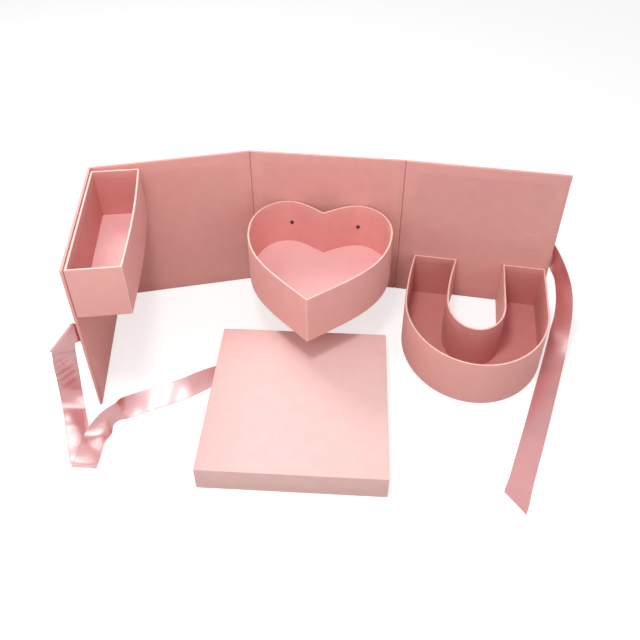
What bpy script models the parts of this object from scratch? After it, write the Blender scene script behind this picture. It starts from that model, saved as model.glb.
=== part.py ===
"""Folding gift box: four hinged panels, three letter-shaped flower trays, a lid and two ribbons.

Lengths are in metres and +Z is up. The box stands open on a table, seen from the inside, which
faces -Y. Panel 3 runs along +X from the fold between panels 2 and 3. Panels 2 and 1 lead on to
the left, and panel 4 to the right. The middle of the box's own bounds stands over the origin.
"""

import math

import bmesh
import bpy
from mathutils import Matrix, Vector

# Sheets and the gaps between them
PAPER_T = 0.00025
PANEL_BOARD_T = 0.0020
TRAY_BOARD_T = 0.0015
LID_BOARD_T = 0.0008
RIBBON_T = 0.00025
LAYER_GAP = 0.0003
CUT_OVERRUN = 0.001

# Panels: width from fold axis to fold axis, and the paper turned in round their edges
PANEL_W = 0.200
TURN_IN_W = 0.015
LINER_SET_IN = 0.0025
FREE_EDGE_CLEAR = 0.0027

# Folds: inside angles as the box stands
FOLD_12_DEG = 95.28
FOLD_23_DEG = 161.98
FOLD_34_DEG = 176.66
FOLD_SIDES = 16

# Trays: one above the other in the closed box, so their heights give the box's height
TRAY_H = 0.0675
TRAY_FLAP_H = 0.010
TRAY_SEAT_GAP = 0.0003
LOWER_TIER_GAP = 0.008
UPPER_TIER_GAP = 0.005
TOP_DROP = 0.0005

# I tray on panel 1
I_TRAY_START = 0.0078
I_TRAY_END_INSET = 0.0002
I_TRAY_D = 0.0593
I_TRAY_BOW = 0.0032
I_TRAY_SEAT_GAP = 0.0008
I_BOW_STEPS = 10

# Heart tray on panel 3: half its width and its depth from the lobes' backs to the tip
HEART_HALF_W = 0.092
HEART_D = 0.1884
HEART_SIDE_SHIFT = 0.0018
HEART_STEPS = (5, 9, 12)

# The right half of the heart as three curves, each with its end points and two handles, as
# shares of the half width and of the depth
HEART_CURVE_SHARES = (
    ((0.000, 0.109), (0.152, 0.062), (0.326, 0.000), (0.489, 0.000)),
    ((0.489, 0.000), (0.822, 0.000), (1.000, 0.159), (1.000, 0.292)),
    ((1.000, 0.292), (1.000, 0.626), (0.543, 0.774), (0.000, 1.000)),
)

# Screws that hold the heart tray to panel 3
SCREW_SHANK_R = 0.0010
SCREW_HEAD_R = 0.0026
SCREW_HEAD_T = 0.0012
SCREW_PLAY = 0.0003
SCREW_HEAD_PLAY = 0.0007
SCREW_BELOW_RIM = 0.0333
SCREW_HOLE_END = 0.0004
SCREW_SIDES = 16

# U tray on panel 4: two arms that leave the panel and a round bend that joins them
U_TRAY_START = 0.0171
U_TRAY_END_CLEAR = 0.0006
U_TRAY_D = 0.188
U_BEND_D = 0.102
U_ARM_W = 0.0555
U_NOTCH_D = 0.128
U_NOTCH_BEND_D = 0.047
U_DRAW_IN = 0.0055
U_NOTCH_DRAW_IN = 0.0085
U_BEND_STEPS = 24
U_NOTCH_STEPS = 16
U_SIDE_STEPS = 4

# Lid, lying on the table in front
LID_H = 0.0333
LID_PLAY = 0.0003
LID_HEM_H = 0.015
LID_TURN_DEG = 3.62
LID_CENTRE_SHARES = (0.4665, -1.189)

# Ribbons: each comes out of a slit near its panel's free edge
RIBBON_W = 0.026
SLIT_FROM_EDGE = 0.022
SLIT_Z = 0.109
SLIT_PLAY = 0.0015
RIBBON_TAB_L = 0.020
RIBBON_LID_GAP = 0.003
RIBBON_LID_SHARE = 0.25
RIBBON_RIGHT_REACH = 0.326
RIBBON_FLOOR_GAP = 0.0003
RIBBON_STEPS = 4

# Each row of a ribbon's route: place ahead and to the left, as shares of the reach; height of
# the lower edge, as a share of the slit's height; heading and tilt of the line across the
# ribbon, in degrees; and the length of that line, as a share of the ribbon's width
LEFT_ROUTE_SHARES = (
    (-0.026, 0.004, 1.024, 16, 90, 1.12),
    (-0.131, -0.043, 1.051, 16, 41, 1.47),
    (-0.141, -0.034, 1.057, 16, 41, 1.47),
    (-0.134, -0.025, 1.051, 18, 41, 1.47),
    (-0.136, -0.025, 1.023, 21, 27, 1.19),
    (-0.148, -0.029, 0.951, 15, 2, 1.00),
    (-0.162, -0.021, 0.807, 9, 0, 1.00),
    (-0.180, 0.000, 0.547, 3, -2, 1.00),
    (-0.200, 0.010, 0.293, -4, -2, 1.00),
    (-0.212, -0.024, 0.083, -8, 0, 1.00),
    (-0.208, -0.163, 0.007, 3, 0, 1.00),
    (-0.197, -0.331, 0.005, 4, 0, 1.00),
    (-0.185, -0.490, 0.004, -4, 0, 1.03),
    (-0.172, -0.592, 0.004, -22, 0, 1.08),
    (-0.169, -0.600, 0.012, -22, 0, 1.08),
    (-0.166, -0.592, 0.020, -22, 0, 1.08),
    (-0.139, -0.529, 0.024, -23, 0, 1.08),
    (-0.111, -0.451, 0.022, -24, -3, 1.05),
    (-0.066, -0.352, 0.021, -33, -9, 1.00),
    (0.001, -0.290, 0.003, -36, -40, 1.00),
    (0.067, -0.231, 0.001, -56, -76, 1.00),
    (0.136, -0.194, 0.001, -76, -78, 1.00),
    (0.203, -0.157, 0.004, -76, -45, 1.00),
    (0.274, -0.125, 0.010, -77, -25, 1.00),
    (0.357, -0.102, 0.013, -81, -14, 1.00),
    (0.523, -0.085, 0.014, -85, -9, 1.00),
    (0.758, -0.057, 0.013, -86, -8, 1.00),
    (1.000, 0.000, 0.011, -112, -7, 1.12),
)
RIGHT_ROUTE_SHARES = (
    (0.008, 0.009, 0.591, -57, 90, 1.50),
    (0.035, -0.059, 0.567, -53, 66, 1.25),
    (0.050, -0.139, 0.503, -30, 54, 1.08),
    (0.048, -0.220, 0.433, -27, 38, 1.00),
    (0.034, -0.298, 0.345, -23, 24, 1.00),
    (0.018, -0.376, 0.239, -20, 15, 1.00),
    (0.000, -0.456, 0.132, -18, 10, 1.00),
    (-0.021, -0.541, 0.051, -16, 7, 1.00),
    (-0.044, -0.633, 0.012, -14, 2, 1.00),
    (-0.070, -0.732, 0.009, -15, 0, 1.00),
    (-0.095, -0.825, 0.007, -15, 0, 1.00),
    (-0.119, -0.914, 0.005, -21, 0, 1.03),
    (-0.135, -0.973, 0.004, -46, 0, 1.23),
)

# Sizes that follow from those above
PANEL_T = 3 * PAPER_T + PANEL_BOARD_T + 3 * LAYER_GAP
FOLD_GAP = PANEL_T + 2 * LAYER_GAP
PANEL_1_W = PANEL_W - PANEL_T / 2 - FREE_EDGE_CLEAR
PANEL_4_W = PANEL_W + PANEL_T / 2
TRAY_WALL_T = 2 * PAPER_T + TRAY_BOARD_T + 2 * LAYER_GAP
HEART_BASE_Z = TRAY_H + LOWER_TIER_GAP
I_BASE_Z = HEART_BASE_Z + TRAY_H + UPPER_TIER_GAP
BOX_H = I_BASE_Z + TRAY_H + TOP_DROP
LID_WALL_T = 2 * PAPER_T + LID_BOARD_T + 2 * LAYER_GAP
LID_W = PANEL_W + PANEL_T + 2 * LID_PLAY + 2 * LID_WALL_T
OUTER_FACE = PANEL_T / 2
BOARD_OUT = OUTER_FACE - PAPER_T - LAYER_GAP
BOARD_IN = PANEL_BOARD_T - BOARD_OUT
RIBBON_HALF_T = RIBBON_T / 2


def clear_scene():
    """Remove every object of the open scene."""
    for obj in list(bpy.data.objects):
        bpy.data.objects.remove(obj, do_unlink=True)


def linear(hex_colour):
    """Turn an sRGB colour such as 'D6968A' into linear red, green, blue and alpha."""
    parts = [int(hex_colour[i:i + 2], 16) / 255 for i in (0, 2, 4)]
    return [p / 12.92 if p <= 0.04045 else ((p + 0.055) / 1.055) ** 2.4 for p in parts] + [1.0]


def surface(name, hex_colour, roughness, metallic=0.0):
    """Return a material with one colour, roughness and metallic value."""
    material = bpy.data.materials.new(name)
    material.use_nodes = True
    shader = material.node_tree.nodes["Principled BSDF"]
    shader.inputs["Base Color"].default_value = linear(hex_colour)
    shader.inputs["Roughness"].default_value = roughness
    shader.inputs["Metallic"].default_value = metallic
    material.diffuse_color = linear(hex_colour)
    return material


def pink_wrap():
    """Return the dusty pink paper that covers the boards."""
    return surface("pink_wrap_paper", "DC9C8F", 0.55)


def pink_liner():
    """Return the paper on the panels' inner faces."""
    return surface("pink_liner_paper", "D6968A", 0.6)


def rose_lining():
    """Return the deeper paper inside the trays."""
    return surface("rose_tray_lining", "D97F78", 0.6)


def pale_lid():
    """Return the lid's paper."""
    return surface("pale_lid_paper", "F2BFBC", 0.5)


def grey_board():
    """Return the greyboard under the paper."""
    return surface("greyboard", "A89F94", 0.85)


def ribbon_satin():
    """Return the ribbon's satin."""
    return surface("rose_satin", "D88789", 0.3)


def screw_metal():
    """Return the screws' plated steel."""
    return surface("plated_steel", "C9A08E", 0.35, 1.0)


def place_empty(name, parent, location=(0, 0, 0), turn=0.0):
    """Return an empty at a place under its parent, turned about the upright axis."""
    empty = bpy.data.objects.new(name, None)
    bpy.context.collection.objects.link(empty)
    empty.parent = parent
    empty.location = location
    empty.rotation_euler = (0, 0, turn)
    return empty


def finish_object(name, bm, parent, material, smooth_angle=None):
    """Turn a bmesh into a named object under its parent."""
    bmesh.ops.recalc_face_normals(bm, faces=bm.faces)
    mesh = bpy.data.meshes.new(name)
    bm.to_mesh(mesh)
    bm.free()
    if smooth_angle is not None:
        mesh.shade_smooth()
        mesh.set_sharp_from_angle(angle=math.radians(smooth_angle))
    if material is not None:
        mesh.materials.append(material)
    obj = bpy.data.objects.new(name, mesh)
    bpy.context.collection.objects.link(obj)
    obj.parent = parent
    return obj


def skin_rings(rings, closed_profile):
    """Return a bmesh that joins rings of points by faces.

    With a closed profile the last ring meets the first; otherwise both end rings are filled.
    """
    bm = bmesh.new()
    loops = [[bm.verts.new(point) for point in ring] for ring in rings]
    following = loops[1:] + loops[:1] if closed_profile else loops[1:]
    count = len(loops[0])
    for near, far in zip(loops, following):
        for i in range(count):
            j = (i + 1) % count
            bm.faces.new((near[i], near[j], far[j], far[i]))
    if not closed_profile:
        bm.faces.new(loops[0])
        bm.faces.new(loops[-1])
    return bm


def box_between(low, high):
    """Return a bmesh cuboid between two corners."""
    bm = bmesh.new()
    bmesh.ops.create_cube(bm, size=1.0)
    size = [abs(h - l) for l, h in zip(low, high)]
    centre = [(h + l) / 2 for l, h in zip(low, high)]
    bmesh.ops.scale(bm, vec=size, verts=bm.verts)
    bmesh.ops.translate(bm, vec=centre, verts=bm.verts)
    return bm


def upright_rod(radius, low, high, sides):
    """Return an upright rod about the local Z axis."""
    bm = bmesh.new()
    bmesh.ops.create_cone(bm, cap_ends=True, segments=sides, radius1=radius, radius2=radius,
                          depth=high - low)
    bmesh.ops.translate(bm, vec=(0, 0, (low + high) / 2), verts=bm.verts)
    return bm


def cut(obj, cutter):
    """Cut one object by another."""
    modifier = obj.modifiers.new("cut_by_" + cutter.name, "BOOLEAN")
    modifier.operation = "DIFFERENCE"
    modifier.object = cutter


def as_cutter(obj):
    """Mark an object as a cutter."""
    obj.hide_render = True
    obj.display_type = "WIRE"
    return obj


def signed_area(outline):
    """Return the outline's area, positive where it runs anticlockwise."""
    total = 0.0
    for (x0, y0), (x1, y1) in zip(outline, outline[1:] + outline[:1]):
        total += x0 * y1 - x1 * y0
    return total / 2


def inset(outline, distance):
    """Return the outline drawn in by a distance, with mitred corners."""
    turn = 1 if signed_area(outline) > 0 else -1
    points = [Vector(point) for point in outline]
    drawn_in = []
    for i, point in enumerate(points):
        before = (point - points[i - 1]).normalized()
        after = (points[(i + 1) % len(points)] - point).normalized()
        normal_before = turn * Vector((-before.y, before.x))
        normal_after = turn * Vector((-after.y, after.x))
        mitre = (normal_before + normal_after) / (1 + normal_before.dot(normal_after))
        drawn_in.append(tuple(point + mitre * distance))
    return drawn_in


def level_ring(outline, z):
    """Return an outline's points at one height."""
    return [(x, y, z) for x, y in outline]


def prism(outline, low, high):
    """Return a solid plate with the outline's shape."""
    return skin_rings([level_ring(outline, low), level_ring(outline, high)], False)


def ring_wall(outline, profile):
    """Return a wall round the outline, whose profile holds insets and heights."""
    return skin_rings([level_ring(inset(outline, d), z) for d, z in profile], True)


def bezier(start, handle_a, handle_b, end, steps):
    """Return points along a cubic curve, without its end point."""
    points = []
    for i in range(steps):
        t = i / steps
        u = 1 - t
        weights = (u ** 3, 3 * u * u * t, 3 * u * t * t, t ** 3)
        corners = (start, handle_a, handle_b, end)
        points.append(tuple(sum(w * c[k] for w, c in zip(weights, corners)) for k in (0, 1)))
    return points


def upright_rectangle(start, end, low, high, y):
    """Return four corners of a rectangle that stands at one distance from the panel's middle."""
    return [(start, y, low), (end, y, low), (end, y, high), (start, y, high)]


def panel_wrap(start, end, side):
    """Return a panel's paper: its outer skin, its four edges and the border turned in."""
    skin_in = OUTER_FACE - PAPER_T
    turn_out = BOARD_IN + LAYER_GAP
    turn_in = turn_out + PAPER_T
    profile = ((0, -OUTER_FACE), (0, turn_in), (TURN_IN_W, turn_in), (TURN_IN_W, turn_out),
               (PAPER_T, turn_out), (PAPER_T, -skin_in))
    rings = []
    for d, depth in profile:
        rings.append(upright_rectangle(start + d, end - d, d, BOX_H - d, side * depth))
    return skin_rings(rings, False)


def panel_board(start, end, side):
    """Return a panel's greyboard core."""
    d = PAPER_T + LAYER_GAP
    return box_between((start + d, -side * BOARD_OUT, d), (end - d, side * BOARD_IN, BOX_H - d))


def panel_liner(start, end, side):
    """Return the sheet that lines a panel's inner face."""
    d = LINER_SET_IN
    low = (start + d, side * (OUTER_FACE - PAPER_T), d)
    high = (end - d, side * OUTER_FACE, BOX_H - d)
    return box_between(low, high)


def slit_cutter(number, parent, end):
    """Return the cutter of the slit that a ribbon passes through."""
    middle = end - SLIT_FROM_EDGE
    half_w = RIBBON_HALF_T + LAYER_GAP
    half_h = RIBBON_W / 2 + SLIT_PLAY
    reach = PANEL_T + CUT_OVERRUN
    bm = box_between((middle - half_w, -reach, SLIT_Z - half_h), (middle + half_w, reach, SLIT_Z + half_h))
    return as_cutter(finish_object(f"slit_cutter_{number}", bm, parent, None))


def build_panel(number, parent, end, side, wrap, liner, board, end_is_free):
    """Build one panel from its fold axis to its other end, with its inside at +side Y."""
    start = FOLD_GAP / 2
    stop = end if end_is_free else end - FOLD_GAP / 2
    name = f"panel_{number}"
    core = finish_object(name + "_board", panel_board(start, stop, side), parent, board)
    skin = finish_object(name + "_wrap", panel_wrap(start, stop, side), parent, wrap)
    sheet = finish_object(name + "_liner", panel_liner(start, stop, side), parent, liner)
    if end_is_free:
        cutter = slit_cutter(number, parent, end)
        cut(core, cutter)
        cut(skin, cutter)
    return core, sheet


def build_fold(name, parent, along, wrap):
    """Build the rolled paper that joins two panels, about their fold's axis."""
    bm = upright_rod(FOLD_GAP / 2 - LAYER_GAP, 0, BOX_H, FOLD_SIDES)
    obj = finish_object(name, bm, parent, wrap, 60)
    obj.location = (along, 0, 0)


def build_tray(name, parent, outline, base_z, wrap, lining, board):
    """Build one tray: base board, wall board, wrap, lining and floor sheet."""
    rim_z = base_z + TRAY_H
    board_out = PAPER_T + LAYER_GAP
    board_in = board_out + TRAY_BOARD_T
    lining_out = board_in + LAYER_GAP
    base_top = base_z + TRAY_BOARD_T
    floor_low = base_top + LAYER_GAP
    flap_low = rim_z - TRAY_FLAP_H
    board_top = rim_z - PAPER_T - LAYER_GAP
    lining_top = flap_low - LAYER_GAP
    skin_low = base_z + LAYER_GAP
    wrap_profile = ((0, skin_low), (0, rim_z), (TRAY_WALL_T, rim_z), (TRAY_WALL_T, flap_low),
                    (lining_out, flap_low), (lining_out, rim_z - PAPER_T),
                    (PAPER_T, rim_z - PAPER_T), (PAPER_T, skin_low))
    board_profile = ((board_out, base_z), (board_out, board_top), (board_in, board_top), (board_in, base_z))
    lining_profile = ((lining_out, floor_low), (lining_out, lining_top),
                      (TRAY_WALL_T, lining_top), (TRAY_WALL_T, floor_low))
    base = prism(inset(outline, lining_out), base_z, base_top)
    floor = prism(inset(outline, TRAY_WALL_T + LAYER_GAP), floor_low, floor_low + PAPER_T)
    walls = (
        finish_object(name + "_wall_board", ring_wall(outline, board_profile), parent, board, 40),
        finish_object(name + "_wrap", ring_wall(outline, wrap_profile), parent, wrap, 40),
        finish_object(name + "_lining", ring_wall(outline, lining_profile), parent, lining, 40),
    )
    finish_object(name + "_base_board", base, parent, board)
    finish_object(name + "_floor_sheet", floor, parent, lining)
    return walls


def i_outline():
    """Return the I tray's outline on panel 1: an oblong whose long outer wall bows out."""
    back = OUTER_FACE + I_TRAY_SEAT_GAP
    end = PANEL_1_W - I_TRAY_END_INSET
    points = [(I_TRAY_START, back), (end, back)]
    for i in range(I_BOW_STEPS + 1):
        share = i / I_BOW_STEPS
        bow = I_TRAY_BOW * math.sin(math.pi * share)
        points.append((end + (I_TRAY_START - end) * share, back + I_TRAY_D + bow))
    return points


def heart_centre():
    """Return the heart's middle along panel 3."""
    return PANEL_W / 2 - HEART_SIDE_SHIFT


def heart_outline():
    """Return the heart tray's outline on panel 3, with its lobes at the panel."""
    half = []
    for curve, steps in zip(HEART_CURVE_SHARES, HEART_STEPS):
        half += bezier(*curve, steps)
    half.append(HEART_CURVE_SHARES[-1][-1])
    back = OUTER_FACE + TRAY_SEAT_GAP
    right = [(heart_centre() + x * HEART_HALF_W, -back - y * HEART_D) for x, y in half]
    left = [(2 * heart_centre() - x, y) for x, y in right[1:-1]]
    return right + left[::-1]


def half_ellipse(left, right, start, depth, steps):
    """Return points of a bend from its left end round to its right end, both included."""
    middle = (left + right) / 2
    half = (right - left) / 2
    points = []
    for i in range(steps + 1):
        angle = math.pi * i / steps
        points.append((middle - half * math.cos(angle), start + depth * math.sin(angle)))
    return points


def drawn_side(edge, shift, length, steps):
    """Return points from the panel along a side whose back end is shifted, in a soft curve."""
    return [(edge + shift * (1 - i / steps) ** 2, length * i / steps) for i in range(steps)]


def u_outline():
    """Return the U tray's outline on panel 4, with both arms' ends at the panel."""
    right = PANEL_W - PANEL_T / 2 - U_TRAY_END_CLEAR
    notch_left = U_TRAY_START + U_ARM_W
    notch_right = right - U_ARM_W
    side_l = U_TRAY_D - U_BEND_D
    notch_l = U_NOTCH_D - U_NOTCH_BEND_D
    points = drawn_side(U_TRAY_START, U_DRAW_IN, side_l, U_SIDE_STEPS)
    points += half_ellipse(U_TRAY_START, right, side_l, U_BEND_D, U_BEND_STEPS)
    points += [(right, 0), (notch_right, 0)]
    points += half_ellipse(notch_left, notch_right, notch_l, U_NOTCH_BEND_D, U_NOTCH_STEPS)[::-1]
    points += drawn_side(notch_left, U_NOTCH_DRAW_IN, notch_l, U_SIDE_STEPS)[::-1]
    back = OUTER_FACE + TRAY_SEAT_GAP
    return [(x, -back - y) for x, y in points]


def screw_places():
    """Return where the heart's screws stand along panel 3 and how high."""
    lobe = HEART_CURVE_SHARES[0][-1][0] * HEART_HALF_W
    z = HEART_BASE_Z + TRAY_H - SCREW_BELOW_RIM
    return (("left", heart_centre() - lobe, z), ("right", heart_centre() + lobe, z))


def across_panel(bm, x, z):
    """Turn a rod made along Z so that it points into panel 3 at a place on its face."""
    turn = Matrix.Rotation(-math.pi / 2, 4, "X")
    bmesh.ops.transform(bm, matrix=Matrix.Translation((x, 0, z)) @ turn, verts=bm.verts)
    return bm


def screw_body(head_back, tip):
    """Return a screw about the local Z axis: a flat head below a shank."""
    levels = ((SCREW_HEAD_R, head_back - SCREW_HEAD_T), (SCREW_HEAD_R, head_back),
              (SCREW_SHANK_R, head_back), (SCREW_SHANK_R, tip))
    rings = []
    for radius, level in levels:
        angles = [2 * math.pi * i / SCREW_SIDES for i in range(SCREW_SIDES)]
        rings.append([(radius * math.cos(a), radius * math.sin(a), level) for a in angles])
    return skin_rings(rings, False)


def build_screws(parent, drilled, metal):
    """Build the two screws and drill the walls and the panel that they hold together."""
    wall_in = OUTER_FACE + TRAY_SEAT_GAP + TRAY_WALL_T
    head_back = -wall_in - SCREW_HEAD_PLAY
    hole_end = BOARD_OUT - SCREW_HOLE_END
    for side, x, z in screw_places():
        body = across_panel(screw_body(head_back, hole_end - SCREW_PLAY), x, z)
        finish_object(f"heart_screw_{side}", body, parent, metal, 40)
        drill = upright_rod(SCREW_SHANK_R + SCREW_PLAY, head_back - CUT_OVERRUN, hole_end, SCREW_SIDES)
        cutter = as_cutter(finish_object(f"drill_{side}", across_panel(drill, x, z), parent, None))
        for obj in drilled:
            cut(obj, cutter)


def square(width):
    """Return a square about the local origin."""
    half = width / 2
    return [(-half, -half), (half, -half), (half, half), (-half, half)]


def build_lid(parent, paper, board):
    """Build the lid: wrap, top board, four skirt boards and the sheet under the top board."""
    outline = square(LID_W)
    board_out = PAPER_T + LAYER_GAP
    board_in = board_out + LID_BOARD_T
    flap_out = board_in + LAYER_GAP
    wrap_profile = ((0, LID_H), (0, 0), (LID_WALL_T, 0), (LID_WALL_T, LID_HEM_H),
                    (flap_out, LID_HEM_H), (flap_out, PAPER_T), (PAPER_T, PAPER_T),
                    (PAPER_T, LID_H - PAPER_T))
    wrap = skin_rings([level_ring(inset(outline, d), z) for d, z in wrap_profile], False)
    finish_object("lid_wrap", wrap, parent, paper)
    top = LID_H - board_out
    under = top - LID_BOARD_T
    finish_object("lid_top_board", prism(inset(outline, board_out), under, top), parent, board)
    sheet_top = under - LAYER_GAP
    sheet = prism(inset(outline, flap_out), sheet_top - PAPER_T, sheet_top)
    finish_object("lid_liner", sheet, parent, paper)
    outer = LID_W / 2 - board_out
    inner = LID_W / 2 - board_in
    skirt_top = under - LAYER_GAP
    for i, side in enumerate(("front", "right", "back", "left")):
        long_edge = outer if i % 2 == 0 else inner - LAYER_GAP
        bm = box_between((-long_edge, -outer, board_out), (long_edge, -inner, skirt_top))
        turn = Matrix.Rotation(i * math.pi / 2, 4, "Z")
        bmesh.ops.transform(bm, matrix=turn, verts=bm.verts)
        finish_object(f"lid_skirt_board_{side}", bm, parent, board)


def plan_matrix(x, y, turn):
    """Return the place of something that stands at x, y, turned about the upright axis."""
    return Matrix.Translation((x, y, 0)) @ Matrix.Rotation(turn, 4, "Z")


def route_stations(place, reach, rows):
    """Turn a route's shares into points, lines across the ribbon and the lengths of those lines."""
    stations = []
    for ahead, left, height, heading, tilt, width in rows:
        length = width * RIBBON_W
        lean = math.radians(tilt)
        across = Vector((math.cos(lean) * math.cos(math.radians(heading)),
                         math.cos(lean) * math.sin(math.radians(heading)), math.sin(lean)))
        z = RIBBON_FLOOR_GAP + RIBBON_HALF_T + height * SLIT_Z + length / 2 * abs(across.z)
        centre = place @ Vector((ahead * reach, left * reach, z))
        stations.append((centre, place.to_3x3() @ across, length))
    return stations


def smooth_stations(stations, steps):
    """Return stations along a smooth curve that passes through the given ones."""
    rows = [Vector((*centre, *across, length)) for centre, across, length in stations]
    rows = [2 * rows[0] - rows[1]] + rows + [2 * rows[-1] - rows[-2]]
    smooth = []
    for before, start, end, after in zip(rows, rows[1:], rows[2:], rows[3:]):
        knots = [0.0]
        for a, b in ((before, start), (start, end), (end, after)):
            knots.append(knots[-1] + math.sqrt((Vector(b[:3]) - Vector(a[:3])).length))
        for i in range(steps):
            t = knots[1] + (knots[2] - knots[1]) * i / steps
            smooth.append(blend(before, start, end, after, knots, t))
    smooth.append(rows[-2])
    return [(Vector(row[:3]), Vector(row[3:6]).normalized(), row[6]) for row in smooth]


def blend(before, start, end, after, knots, t):
    """Return the curve's value at one knot value, by repeated straight blends."""
    def mix(a, b, low, high):
        return a * ((high - t) / (high - low)) + b * ((t - low) / (high - low))

    k0, k1, k2, k3 = knots
    first = mix(before, start, k0, k1)
    second = mix(start, end, k1, k2)
    third = mix(end, after, k2, k3)
    return mix(mix(first, second, k0, k2), mix(second, third, k1, k3), k1, k2)


def strip_body(stations):
    """Return a closed strip of the ribbon's thickness along its stations."""
    normals = []
    for (centre, across, _), (next_centre, next_across, _) in zip(stations, stations[1:]):
        normals.append((next_centre - centre).cross(across + next_across).normalized())
    normals = [normals[0]] + normals + [normals[-1]]
    rings = []
    for (centre, across, length), before, after in zip(stations, normals, normals[1:]):
        offset = (before + after) / (1 + before.dot(after)) * RIBBON_HALF_T
        edge = across * length / 2
        rings.append([centre + edge + offset, centre - edge + offset,
                      centre - edge - offset, centre + edge - offset])
    return split_alike(skin_rings(rings, False))


def split_alike(bm):
    """Split a strip's two broad sides along the same diagonals, so that a twist keeps them apart."""
    sides = bm.faces[:-2]
    fronts = sides[0::4]
    backs = sides[2::4]
    bmesh.ops.triangulate(bm, faces=fronts, quad_method="ALTERNATE")
    bmesh.ops.triangulate(bm, faces=backs, quad_method="FIXED")
    return bm


def slit_stations(end, side, place):
    """Return the ribbon's stations under the liner, through the slit and behind the panel."""
    inner = side * (BOARD_IN + LAYER_GAP + RIBBON_HALF_T)
    outer = -side * (OUTER_FACE + LAYER_GAP + RIBBON_HALF_T)
    middle = end - SLIT_FROM_EDGE
    places = ((middle - RIBBON_TAB_L, inner), (middle, inner), (middle, outer))
    return [(place @ Vector((x, y, SLIT_Z)), Vector((0, 0, 1)), RIBBON_W) for x, y in places]


def build_ribbon(name, fold, fold_place, end, side, route, satin):
    """Build one ribbon in the frame of the fold that its panel hangs on."""
    start = slit_stations(end, side, fold_place)
    stations = start + smooth_stations(route, RIBBON_STEPS)
    to_fold = fold_place.inverted()
    turn = to_fold.to_3x3()
    local = [(to_fold @ centre, turn @ across, length) for centre, across, length in stations]
    finish_object(name, strip_body(local), fold, satin, 50)


def left_route(panel_place, lid_place):
    """Return the left ribbon's route from panel 1's free edge to the lid's left wall."""
    start = panel_place @ Vector((PANEL_1_W, 0, 0))
    wall = lid_place @ Vector((-LID_W / 2 - RIBBON_LID_GAP, LID_W * RIBBON_LID_SHARE, 0))
    span = wall - start
    place = plan_matrix(start.x, start.y, math.atan2(span.y, span.x))
    return route_stations(place, span.length, LEFT_ROUTE_SHARES)


def right_route(panel_place):
    """Return the right ribbon's route from panel 4's free edge, forwards over the table."""
    place = panel_place @ Matrix.Translation((PANEL_4_W, 0, 0))
    return route_stations(place, RIBBON_RIGHT_REACH, RIGHT_ROUTE_SHARES)


def stand_over_origin(root):
    """Move the whole box so that the middle of its bounds stands over the origin."""
    bpy.context.view_layer.update()
    corners = []
    for obj in bpy.data.objects:
        if obj.type == "MESH" and not obj.hide_render:
            corners += [obj.matrix_world @ vertex.co for vertex in obj.data.vertices]
    middle = [(min(c[k] for c in corners) + max(c[k] for c in corners)) / 2 for k in (0, 1)]
    root.location = (-middle[0], -middle[1], 0)
    bpy.context.view_layer.update()


def main():
    """Build the whole box."""
    clear_scene()
    wrap, liner, board = pink_wrap(), pink_liner(), grey_board()
    lining, satin = rose_lining(), ribbon_satin()

    turn_23 = -math.radians(FOLD_23_DEG)
    turn_12 = math.pi - math.radians(FOLD_12_DEG)
    turn_34 = math.radians(FOLD_34_DEG) - math.pi
    lid_x, lid_y = (share * PANEL_W for share in LID_CENTRE_SHARES)
    lid_turn = math.radians(LID_TURN_DEG)
    root = place_empty("box_place", None)
    fold_23 = place_empty("fold_23_axis", root, (0, 0, 0), turn_23)
    fold_12 = place_empty("fold_12_axis", fold_23, (PANEL_W, 0, 0), turn_12)
    fold_34 = place_empty("fold_34_axis", root, (PANEL_W, 0, 0), turn_34)
    lid = place_empty("lid_place", root, (lid_x, lid_y, 0), lid_turn)
    place_23 = plan_matrix(0, 0, turn_23)
    place_12 = place_23 @ plan_matrix(PANEL_W, 0, turn_12)
    place_34 = plan_matrix(PANEL_W, 0, turn_34)
    place_lid = plan_matrix(lid_x, lid_y, lid_turn)

    board_3, liner_3 = build_panel(3, root, PANEL_W, -1, wrap, liner, board, False)
    build_panel(2, fold_23, PANEL_W, 1, wrap, liner, board, False)
    build_panel(1, fold_12, PANEL_1_W, 1, wrap, liner, board, True)
    build_panel(4, fold_34, PANEL_4_W, -1, wrap, liner, board, True)
    build_fold("hinge_fold_23", root, 0, wrap)
    build_fold("hinge_fold_12", fold_23, PANEL_W, wrap)
    build_fold("hinge_fold_34", root, PANEL_W, wrap)

    build_tray("i_tray", fold_12, i_outline(), I_BASE_Z, wrap, lining, board)
    heart_walls = build_tray("heart_tray", root, heart_outline(), HEART_BASE_Z, wrap, lining, board)
    build_tray("u_tray", fold_34, u_outline(), 0, wrap, lining, board)
    build_screws(root, (*heart_walls, board_3, liner_3), screw_metal())
    build_lid(lid, pale_lid(), board)

    build_ribbon("ribbon_left", fold_12, place_12, PANEL_1_W, 1, left_route(place_12, place_lid), satin)
    build_ribbon("ribbon_right", fold_34, place_34, PANEL_4_W, -1, right_route(place_34), satin)
    stand_over_origin(root)


main()
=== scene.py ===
"""Looks of the folding gift box: card panels, letter trays, a cap lid and two satin ribbons.

Lengths are in metres, +Z is up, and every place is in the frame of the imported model. The box
stands open on a table and is seen from its inside, which faces -Y.
"""

import logging
import math
from dataclasses import dataclass
from enum import Enum

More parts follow.
